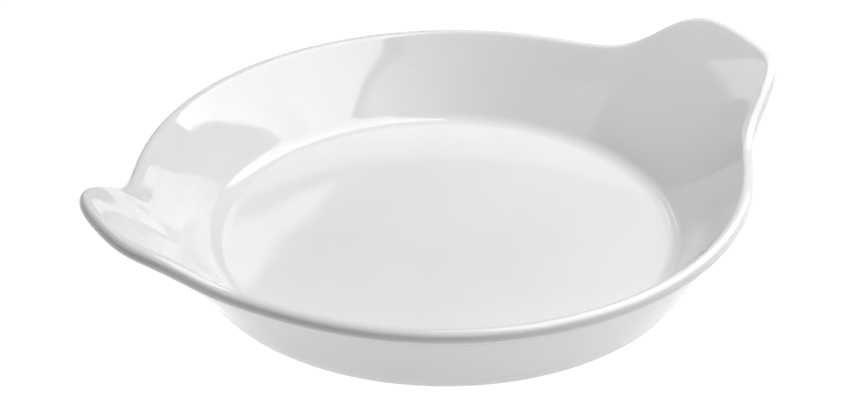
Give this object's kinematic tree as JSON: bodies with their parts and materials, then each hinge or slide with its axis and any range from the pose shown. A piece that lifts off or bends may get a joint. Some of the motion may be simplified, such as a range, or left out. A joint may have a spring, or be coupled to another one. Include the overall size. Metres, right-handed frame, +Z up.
{
  "type": "egg dish",
  "caption": "Round shallow baking dish of glazed porcelain, with a flared wall, a rolled rim and upswept ears to lift it by.",
  "frame": {"origin": "on the table plane, under the middle of the round foot", "axes": "+Z up out of the well, X along the line through both ears, Y across it"},
  "size_m": [0.2476, 0.2, 0.0471],
  "materials": {
    "white_glaze": "gloss"
  },
  "bodies": {
    "root": {"dish": "white_glaze"}
  },
  "joints": []
}
